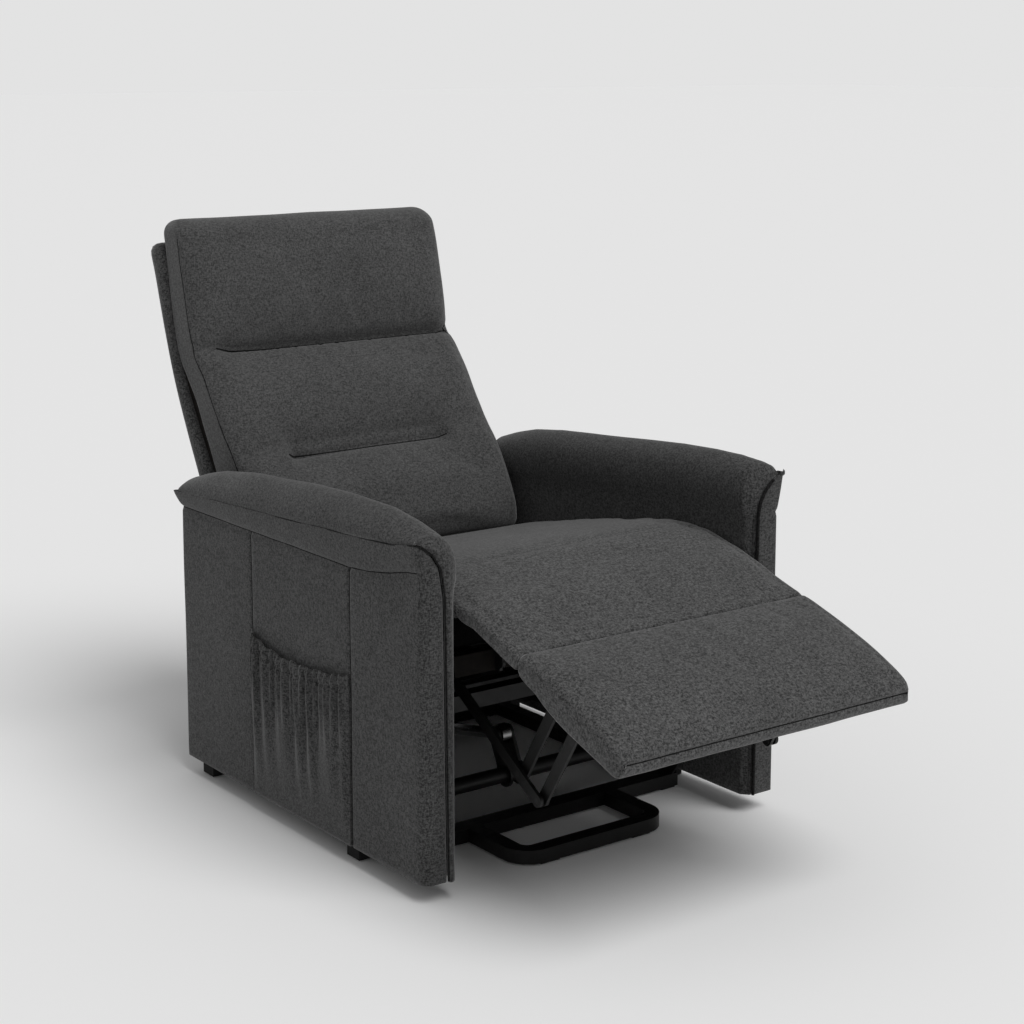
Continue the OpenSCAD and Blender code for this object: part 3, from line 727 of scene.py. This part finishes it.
def make_front_pad():
    """Front footrest pad, sewn along the lower edge of its nose."""
    top = [(HEEL, 0.424), (-0.4768, 0.439), (-0.4815, 0.4425), (-0.532, 0.4305), (-0.61, 0.404), (-0.671, 0.379),
           (-0.705, 0.361), (-0.7215, 0.347), (TOE, 0.338), TOE_SEAM]
    under = [(HEEL, 0.424), (-0.480, 0.409), (-0.492, 0.3995), (-0.515, 0.390), (-0.545, 0.371), (-0.60, 0.3475),
             (-0.690, 0.3165), (-0.707, 0.311), (-0.719, 0.313), (-0.7245, 0.325), TOE_SEAM]
    piece = box_pad("footrest_front_pad", top, under, FOOT_HALF, depth=0.020, face_rim=0.017, behind_rim=0.010,
                    tuck=0.002, focus=((0.0, 0.02, 3), (1.0, 0.03, 4)))
    round_corners(piece, 1, TOE, 0.014, FOOT_HALF)
    p = points_of(piece)
    sewn = np.minimum.reduce([FOOT_HALF - np.abs(p[:, 0]), HEEL - p[:, 1], p[:, 1] - TOE])
    swell(piece, 1.1, 0.007, hold=1 - ease(0.004, 0.030, sewn), slack=0.01)
    keep_flat(piece, p)
    roughen(piece, 0.0010, 5, 0.10)
    finish_soft(piece, "footrest_main", "cushion_fabric", "footrest_main_pad", fill=0.75)
    return piece


# ---------------------------------------------------------------- back

BACK_HALF = 0.297
BACK_TOP = 1.034
BACK_OUT = (0, -0.80, 0.60)     # the way the back's face looks
HOLLOW = 0.012                  # depth of the dip above the tuft
SHELL_HALF = 0.308
SHELL_TOP = 0.9865
BACK_SIDE_SEAM = ((0.360, 0.511), (0.408, 0.581), (0.468, 0.653), (0.532, 0.742), (0.570, 0.786), (0.584, 0.828),
                  (0.602, 0.900), (0.618, 0.960), (0.626, 1.000))


def make_back_pad():
    """Head, middle and lower back in one cover, with a sewn fold under the head and a short tuft above the hips."""
    face = [(0.400, 0.414), (0.346, 0.410), (0.306, 0.421), (0.304, 0.458), (0.328, 0.511), (0.350, 0.549),
            (0.376, 0.581), (0.407, 0.612), (0.438, 0.653), (0.474, 0.707), (0.502, 0.742), (0.527, 0.770),
            (0.545, 0.786), (0.5535, 0.7955), (0.5525, 0.806), (0.556, 0.828), (0.568, 0.881), (0.585, 0.945),
            (0.598, 0.990), (0.608, 1.013), (0.624, 1.026), (0.645, 1.033), (0.664, BACK_TOP)]
    behind = [(0.400, 0.414), (0.446, 0.466), (0.503, 0.567), (0.540, 0.629), (0.575, 0.690), (0.610, 0.733),
              (0.636, 0.763), (0.651, 0.798), (0.664, 0.849), (0.674, 0.910), (0.683, 0.972),
              (0.688, 1.008), (0.682, 1.027), (0.664, BACK_TOP)]
    piece = box_pad("back_pad", face, behind, BACK_HALF, seam=0.36, face_rim=0.042, power=2.0, behind_rim=0.018,
                    step=0.0055, focus=((0.345, 0.035, 2.2), (0.602, 0.03, 3.0)), material=BACK)
    round_corners(piece, 2, BACK_TOP, 0.028, BACK_HALF)
    p = points_of(piece)
    hold = np.maximum(1 - ease(0.004, 0.030, BACK_HALF - np.abs(p[:, 0])), ease(0.975, 1.015, p[:, 2]))
    out = np.array(BACK_OUT)
    showing = normals_of(piece) @ out > -0.2
    tuft = [(-0.190, 0.403, 0.606), (0.0, 0.405, 0.610), (0.192, 0.406, 0.611)]
    fold = [(-0.262, 0.553, 0.7935), (0.0, 0.5535, 0.7955), (0.300, 0.5535, 0.7965)]
    hollow = press_line(p, [(-0.16, 0.416, 0.628), (0.17, 0.418, 0.630)], HOLLOW, 0.040) * showing
    p -= out * hollow[:, None]
    pressed = 0.7 * hollow / HOLLOW      # 1 where the cover is sewn down, 0 where it is free
    for path, deep, reach, ends in ((tuft, 0.036, 0.030, ((0, 0), (0.07, 1), (0.93, 1), (1, 0))),
                                    (fold, 0.030, 0.018, ((0, 0), (0.08, 0.8), (0.2, 1), (1, 1)))):
        press = press_line(p, path, deep, reach, along=ends) * showing
        p -= out * press[:, None]
        pressed = np.maximum(pressed, press / deep)
    set_points(piece, p)
    swell(piece, 1.4, 0.008, hold=np.maximum(hold, np.clip(pressed * 2.0 - 0.4, 0, 1)), slack=0.012)
    roughen(piece, 0.0013, 17, 0.12, 1 - pressed)
    finish_soft(piece, "back", "cushion_fabric", "back_cushion_head", "back_cushion_mid", "back_cushion_lumbar",
                fill=0.8)
    return piece


def make_back_shell():
    """Upholstered panel behind the back cushion."""
    face = [(0.425, 0.352), (0.434, 0.402), (0.492, 0.520), (0.529, 0.590), (0.567, 0.652), (0.605, 0.718),
            (0.632, 0.772), (0.649, 0.830), (0.662, 0.900), (0.674, 0.955), (0.692, 0.982), (0.712, SHELL_TOP)]
    behind = [(0.425, 0.352), (0.442, 0.346), (0.462, 0.386), (0.498, 0.460), (0.548, 0.551), (0.592, 0.632),
              (0.632, 0.711), (0.670, 0.811), (0.708, 0.916), (0.7265, 0.966), (0.7265, 0.981), (0.712, SHELL_TOP)]
    piece = box_pad("back_shell_cover", face, behind, SHELL_HALF, seam=0.5, face_rim=0.010, behind_rim=0.022,
                    square=2.4, step=0.009, tuck=0.001, material=COVER)
    round_corners(piece, 2, SHELL_TOP, 0.022, SHELL_HALF)
    roughen(piece, 0.0010, 23, 0.16)
    finish_soft(piece, "back", "cover_fabric", "back_shell")


# ---------------------------------------------------------------- arms

ARM_FRONT = -0.330
ARM_REAR = 0.478
ARM_LOW = 0.034
ARM_SIDE = 0.380
ARM_INNER_REAR = 0.339      # where the rear face ends, at the rear panel
LIP_X = 0.3930
KNEE = 0.53                 # height where the crown's outline turns into the inner side
ROLL = -0.312               # where the crown starts to roll down the front
SEAM_DIP = 0.0026           # how deep the covers are drawn in at the band's seam
# height of the band's lower seam, of the lip and of the crown, by place along the arm
BAND_Z = ((-0.332, 0.550), (-0.28, 0.543), (-0.237, 0.533), (-0.17, 0.522), (-0.105, 0.517), (0.48, 0.517))
# each arm's stuffing has settled a little differently: -1 is the left arm and 1 the right arm
LIP_Z = {
    -1: ((-0.334, 0.599), (-0.315, 0.5955), (-0.266, 0.587), (-0.189, 0.582), (0.015, 0.571), (0.48, 0.548)),
    1: ((-0.334, 0.6205), (-0.318, 0.609), (-0.300, 0.599), (-0.27, 0.588), (-0.24, 0.582), (0.015, 0.570),
        (0.48, 0.546)),
}
CROWN_Z = {
    -1: ((-0.332, 0.601), (-0.30, 0.612), (-0.255, 0.623), (-0.192, 0.631), (-0.071, 0.6325), (0.024, 0.629),
         (0.136, 0.621), (0.262, 0.612), (0.35, 0.600), (0.405, 0.587), (0.455, 0.572), (0.48, 0.556)),
    1: ((-0.332, 0.630), (-0.30, 0.639), (-0.255, 0.643), (-0.192, 0.643), (-0.10, 0.640), (0.0, 0.632),
        (0.136, 0.621), (0.262, 0.612), (0.35, 0.600), (0.405, 0.587), (0.455, 0.572), (0.48, 0.556)),
}
# how far from the middle the piped edge runs on the front face, by height
FRONT_X = {
    -1: ((0.032, 0.334), (0.211, 0.336), (0.438, 0.338), (0.507, 0.339), (0.5535, 0.3465), (0.578, 0.362),
         (0.593, 0.381), (0.599, 0.3935)),
    1: ((0.032, 0.330), (0.211, 0.331), (0.474, 0.329), (0.5475, 0.330), (0.571, 0.3345), (0.590, 0.345),
        (0.606, 0.361), (0.616, 0.378), (0.6205, 0.3925)),
}
SIDE_SEAMS = (-0.112, 0.215)
CORNER = {-1: (0.020, 0.012), 1: (0.007, 0.012)}     # rounding of each arm's front and rear corners


def crown_section(y, count, side):
    """Outline of the padded crown and inner side at one place along the arm, from the lip to the bottom."""
    lip, top = line(LIP_Z[side], y), line(CROWN_Z[side], y)
    rise = top - lip
    full = 0.10 if side > 0 else 0.0
    outline = [(LIP_X, lip), (0.3915, lip + 0.30 * rise), (0.381, lip + (0.66 + full) * rise),
               (0.366, lip + (0.92 + 0.4 * full) * rise),
               (0.350, top), (0.332, top - 0.008), (0.317, top - 0.024), (0.3085, top - 0.050), (0.309, top - 0.078),
               (0.3145, top - 0.100), (0.3155, top - 0.130), (0.3155, 0.30), (0.3155, ARM_LOW)]
    return curve_through(outline, count)


def make_arm_pad(name, side):
    """Padded crown, inner side and rolled front, sewn as one cover."""
    count = 84
    places = np.concatenate([np.linspace(ARM_REAR, ARM_REAR - 0.03, 6), np.linspace(0.44, -0.27, 72),
                             np.linspace(-0.276, ROLL, 7)])
    rows = []
    for y in places:
        section = crown_section(y, count, side)
        # the outline closes in a little at the rear end
        pull = 0.006 * (1 - ease(0, 0.022, ARM_REAR - y))
        middle = np.array([0.350, section[:, 1].mean()])
        rows.append(np.column_stack([section[:, 0] - pull * np.sign(section[:, 0] - middle[0]) * 0.5,
                                     np.full(count, y), section[:, 1] - pull * (section[:, 1] > 0.5)]))
    outline = rows[-1][:, [0, 2]]
    peak = FRONT_X[side][-1][0]
    welt_z = np.concatenate([np.linspace(peak, 0.54, 60), np.linspace(0.535, ARM_LOW, 60)])
    fine = 600
    welt = curve_through(np.column_stack([line(FRONT_X[side], welt_z), welt_z]), fine)
    out_run = np.concatenate([[0], np.cumsum(np.linalg.norm(np.diff(outline, axis=0), axis=1))])
    # match the crown's outline to the welt by height below the crown, and by length over it
    knee = np.argmin(np.abs(outline[:, 1] - KNEE) + (outline[:, 0] > 0.34))
    welt_knee = np.argmin(np.abs(welt[:, 1] - KNEE))
    along = np.where(np.arange(count) <= knee, out_run / out_run[knee] * welt_knee,
                     welt_knee + np.interp(outline[:, 1], [ARM_LOW, outline[knee, 1]], [fine - 1 - welt_knee, 0]))
    welt = np.column_stack([np.interp(along, np.arange(fine), welt[:, k]) for k in range(2)])
    width = np.linalg.norm(welt - outline, axis=1)
    deep = (0.014 if side < 0 else 0.003) * ease(0, 0.022, width)
    for t in np.linspace(0, math.pi, 15)[1:]:
        share = (1 - math.cos(t)) / 2
        across = outline + (welt - outline) * share
        y = ROLL + share * (ARM_FRONT + 0.003 - ROLL) - (deep * math.sin(t) ** 0.8 if t < math.pi else 0)
        rows.append(np.column_stack([across[:, 0], np.broadcast_to(y, count), across[:, 1]]))
    piece = new_piece(name, np.array(rows).reshape(-1, 3), grid_faces(len(rows), count), COVER)
    q = points_of(piece)
    n = normals_of(piece)
    if n[np.argmax(q[:, 2]), 2] < 0:
        n = -n
    slow = noise_field(q, 31 if side > 0 else 37, 0.13)
    q += n * (0.0013 * slow * ease(-0.335, -0.30, q[:, 1]))[:, None]
    q[:, 0] *= side
    set_points(piece, q)
    tidy_mesh(piece)
    thicken(piece, 0.006, -1)
    return piece


def side_path(side):
    """Plan of the outer cover, as (kind, place) pairs from the piped edge round to the rear panel.

    The place is a share of the front or rear face, an angle round a corner, or y along the side.
    """
    path = []
    for s in (0, 0.04, 0.09, 0.15, 0.23, 0.34, 0.46, 0.58, 0.70, 0.82, 0.92):
        path.append(("front", s))
    for a in np.linspace(0, 90, 7)[:-1]:
        path.append(("corner", a))
    y_side = list(np.linspace(ARM_FRONT + CORNER[side][0], ARM_REAR - CORNER[side][1], 66))
    for seam in SIDE_SEAMS:
        y_side = [y for y in y_side if abs(y - seam) > 0.008]
        y_side += [seam + d for d in (-0.006, -0.003, -0.0012, 0, 0.0012, 0.003, 0.006)]
    for y in sorted(y_side):
        path.append(("side", y))
    for a in np.linspace(90, 180, 7)[1:]:
        path.append(("rear_corner", a))
    for s in np.linspace(0, 1, 6)[1:]:
        path.append(("rear", s))
    return path


def make_arm_cover(name, side):
    """Outer side with its front and rear faces, and the flared band under the lip."""
    path = side_path(side)
    panel = np.linspace(0, 1, 60)
    band = np.array([0.0, 0.03, 0.08, 0.16, 0.3, 0.45, 0.6, 0.75, 0.88, 0.96, 1.0])
    front_r, rear_r = CORNER[side]
    rows = []
    for part, levels in (("panel", panel), ("band", band)):
        for level in levels:
            row = []
            for kind, s in path:
                y = {"front": ARM_FRONT, "corner": ARM_FRONT, "rear_corner": ARM_REAR, "rear": ARM_REAR}.get(kind, s)
                seam_z, lip_z = line(BAND_Z, y), line(LIP_Z[side], y)
                if part == "panel":
                    z = ARM_LOW + (seam_z - ARM_LOW) * level
                    out = ARM_SIDE - SEAM_DIP * math.exp(-((seam_z - z) / 0.004) ** 2)
                else:
                    z = seam_z + (lip_z - seam_z) * level
                    out = ARM_SIDE + 0.0135 * level ** 1.15 + 0.0022 * math.sin(math.pi * level) ** 0.6
                    out -= SEAM_DIP * math.exp(-((z - seam_z) / 0.004) ** 2)
                welt = line(FRONT_X[side], z) + 0.0015
                r = min(front_r, max(0.45 * (out - welt), 0.0005))
                rear = rear_r * (1 - 0.9 * level) if part == "band" else rear_r
                if kind == "front":
                    x = welt + (out - r - welt) * s
                    y = ARM_FRONT + 0.0035 * math.exp(-((x - welt) / 0.0026) ** 2)
                elif kind == "corner":
                    x = out - r + r * math.sin(math.radians(s))
                    y = ARM_FRONT + r - r * math.cos(math.radians(s))
                elif kind == "side":
                    x = out
                    y = max(s, ARM_FRONT + r) if s < ARM_FRONT + front_r + 0.001 else s
                    if part == "panel":
                        for seam in SIDE_SEAMS:
                            x -= 0.0022 * math.exp(-((y - seam) / 0.0028) ** 2)
                elif kind == "rear_corner":
                    x = out - rear + rear * math.sin(math.radians(180 - s))
                    y = ARM_REAR - rear - rear * math.cos(math.radians(s))
                else:
                    x = out - rear - (out - rear - ARM_INNER_REAR) * s
                row.append((x, y, z))
            rows.append(row)
    piece = new_piece(name, np.array(rows).reshape(-1, 3), grid_faces(len(rows), len(path)), COVER)
    q = points_of(piece)
    n = normals_of(piece)
    flip = -1.0 if n[np.argmax(q[:, 0]), 0] < 0 else 1.0
    slow = noise_field(q, 41 if side > 0 else 43, 0.17)
    inside = ease(0.0, 0.03, q[:, 2] - ARM_LOW) * ease(ARM_FRONT, -0.30, q[:, 1])
    q += n * flip * (0.0011 * slow * inside)[:, None]
    # a faint slanting drag line below the front of the lip
    drag = np.exp(-(((q[:, 1] + 0.245) * 0.75 + (q[:, 2] - 0.455) * 0.66) / 0.010) ** 2)
    q[:, 0] -= 0.0018 * drag * ease(0.30, 0.40, q[:, 2]) * (1 - ease(0.49, 0.53, q[:, 2])) * (q[:, 0] > 0.37)
    q[:, 0] *= side
    set_points(piece, q)
    tidy_mesh(piece)
    thicken(piece, 0.004, -1)
    return piece


def welt_look(side, part):
    """Radius and material of a run of piping, whose near-black fabric is partly painted shade of the groove beside it.
    The right arm's lip is covered in the arm's own fabric.
    """
    if side < 0:
        return 0.0017, PIPING_AND_SEAM_SHADE
    return (0.0029, PIPING_AND_SEAM_SHADE) if part == "front" else (0.0018, COVER)


def welt_paths(side):
    """The piped edge in two runs: along the lip from the rear to the ear, and round the ear down the front."""
    run = np.linspace(ARM_REAR - 0.003, -0.3285 if side < 0 else -0.3215, 60)
    ear = (0.0022 if side > 0 else -0.0012) * (1 - ease(-0.3285, -0.30, run))
    inset = 0.0012 + 0.0022 * ease(0.455, ARM_REAR, run) + ear
    lip = [(LIP_X - back, y, line(LIP_Z[side], y) - 0.0008) for y, back in zip(run, inset)]
    peak = FRONT_X[side][-1][0] - (0.012 if side > 0 else 0.001)
    z = np.concatenate([np.linspace(peak, 0.545, 22), np.linspace(0.54, ARM_LOW + 0.001, 50)])
    forward = 0.0012 if side < 0 else 0.0022
    front = [(line(FRONT_X[side], h) + 0.0002, ARM_FRONT - forward, h) for h in z]
    if side < 0:
        front = lip[-3:] + front        # the two runs overlap at the left ear
    lip, front = np.array(lip), np.array(front)
    lip[:, 0] *= side
    front[:, 0] *= side
    return curve_through(lip, 200), curve_through(front, 200)


def make_arms():
    """Both arms, each of a padded crown, an outer cover and two runs of piping. Gives the outer covers."""
    pipes, covers = [], {}
    for side, label in ((-1, "left"), (1, "right")):
        pad = make_arm_pad(f"arm_pad_cover_{label}", side)
        finish_soft(pad, "chassis", "cover_fabric", f"arm_pad_{label}", fill=0.7)
        cover = covers[label] = make_arm_cover(f"arm_side_cover_{label}", side)
        finish_soft(cover, "chassis", "cover_fabric", f"arm_outer_panel_{label}", f"arm_band_{label}")
        for part, path in zip(("lip", "front"), welt_paths(side)):
            pipe = tube(f"arm_welt_{label}_{part}", path, *welt_look(side, part))
            keep_rest(pipe)
            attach(pipe, "chassis")
            pipes.append(pipe)
    for pipe in pipes:
        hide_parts("arm_piping")
    return covers


def make_rear_panel():
    """Upholstered panel between the arms at the rear, with turned-in edges."""
    low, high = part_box("rear_panel")
    middle = (low[1] + high[1]) / 2
    face = [(middle, low[2]), (high[1] - 0.001, low[2] + 0.002), (high[1], low[2] + 0.02), (high[1], high[2] - 0.02),
            (high[1] - 0.001, high[2] - 0.002), (middle, high[2])]
    behind = [(middle, low[2]), (low[1] + 0.001, low[2] + 0.002), (low[1], low[2] + 0.02), (low[1], high[2] - 0.02),
              (low[1] + 0.001, high[2] - 0.002), (middle, high[2])]
    piece = box_pad("rear_cover", face, behind, high[0], seam=0.5, face_rim=0.008, behind_rim=0.008, step=0.010,
                    tuck=0.0005, material=COVER)
    p = points_of(piece)
    inside = ease(0.0, 0.03, p[:, 2] - low[2]) * ease(0.0, 0.03, high[2] - p[:, 2])
    p[:, 1] += 0.0009 * (1 + noise_field(p, 53, 0.15)) * inside
    set_points(piece, p)
    piece.data.materials.append(DUST_CLOTH_AND_SHADE)     # the side towards the mechanism: a dust cloth whose near-black colour is partly painted shade of the closed interior
    for face in piece.data.polygons:
        face.material_index = 1 if face.normal.y < -0.3 else 0
    finish_soft(piece, "chassis", "cover_fabric", "rear_panel")


POCKET_FRONT, POCKET_REAR = SIDE_SEAMS


def make_pocket():
    """Gathered pocket on the left arm: full at its elastic hem, flat where it is sewn in at the bottom and sides."""
    across, up = 190, 60
    share = np.linspace(0, 1, across)
    y = POCKET_FRONT + 0.0015 + share * (POCKET_REAR - POCKET_FRONT - 0.003)
    hem_z = line(((0, 0.334), (0.12, 0.3265), (0.35, 0.3185), (0.62, 0.3165), (0.82, 0.3235), (1, 0.339)), share)
    levels = np.concatenate([np.linspace(0, 0.86, up - 14), np.linspace(0.87, 1, 14)])
    side_fade = np.minimum(ease(0, 0.05, share), ease(0, 0.05, 1 - share))
    # the gathers wander a little and differ in width
    warp = share + 0.010 * np.sin(2 * np.pi * 2.3 * share + 0.6) + 0.006 * np.sin(2 * np.pi * 5.1 * share + 2.0)
    fine = np.sin(2 * np.pi * 19 * warp + 0.9 * np.sin(2 * np.pi * 3 * share))
    broad = np.sin(2 * np.pi * 6.5 * warp + 1.1 + 0.8 * np.sin(2 * np.pi * 2 * share + 1))
    vertices = []
    for level in levels:
        z = ARM_LOW + 0.001 + (hem_z - ARM_LOW - 0.001) * level
        gather = 0.0034 * ease(0.45, 0.95, level) * fine + 0.0044 * ease(0.05, 0.75, level) * broad
        gather *= 1 - 0.35 * ease(0.93, 1.0, level)
        belly = 0.0055 * math.sin(math.pi * level) ** 0.7 + 0.004 * ease(0.5, 0.95, level)
        hem = 0.0016 * math.exp(-((level - 0.965) / 0.018) ** 2) - 0.0018 * math.exp(-((level - 0.925) / 0.012) ** 2)
        out = 0.0016 + side_fade * (belly + gather + 0.0042 * ease(0.05, 0.5, level)) + hem
        drop = 0.0020 * ease(0.8, 1.0, level) * fine * side_fade
        vertices.append(np.column_stack([-(ARM_SIDE + out), y, z + drop]))
    piece = new_piece("side_pocket", np.array(vertices).reshape(-1, 3), grid_faces(len(levels), across), COVER)
    thicken(piece, 0.0014, 0)
    keep_rest(piece)
    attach(piece, "chassis")
    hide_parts("arm_pocket")


def make_seams(seat, front, back, covers):
    """Dark lines of painted seam shade and rows of stitches laid on the finished covers."""
    stitch_line("seat_stitches", seat, [(x, y, SEAT_STITCH_HEIGHT) for x, y in SEAT_STITCH], (0, 0, -1), "chassis", 160)
    seam_shade_line("footrest_seam", front, [(x, *TOE_SEAM) for x in np.linspace(-0.297, 0.297, 12)], (0, 1, 0.1),
              "footrest_main", radius=0.0016)
    inward = -np.array(BACK_OUT)
    seam_shade_line("head_seam", back, [(x, 0.5535, 0.7955) for x in np.linspace(-0.255, 0.290, 12)], inward, "back",
              radius=0.0015)
    seam_shade_line("tuft_seam", back, [(x, 0.405, 0.609) for x in np.linspace(-0.180, 0.183, 9)], inward, "back",
              radius=0.0015)
    for label, cover in covers.items():
        side = -1 if label == "left" else 1
        inward = (-side, 0, 0)
        path = [(side * BACK_HALF, y, z) for y, z in BACK_SIDE_SEAM]
        seam_shade_line(f"back_side_seam_{label}", back, path, inward, "back", 160)
        for seam, place in zip(SIDE_SEAMS, ("front", "rear")):
            top = line(BAND_Z, seam) - 0.002
            path = [(side * ARM_SIDE, seam, z) for z in np.linspace(ARM_LOW + 0.003, top, 24)]
            seam_shade_line(f"side_seam_{label}_{place}", cover, path, inward, "chassis", 160, radius=0.0013)
        run = np.linspace(ARM_FRONT + 0.02, ARM_REAR - 0.014, 60)
        path = np.array([(side * ARM_SIDE, y, line(BAND_Z, y)) for y in run])
        path[:, 2] += 0.0012 * noise_field(path, 61, 0.05)
        seam_shade_line(f"band_seam_{label}", cover, path, inward, "chassis", 200, radius=0.0012)


seat_piece = make_seat()
front_piece = make_front_pad()
back_piece = make_back_pad()
make_back_shell()
arm_covers = make_arms()
make_rear_panel()
make_pocket()
make_seams(seat_piece, front_piece, back_piece, arm_covers)
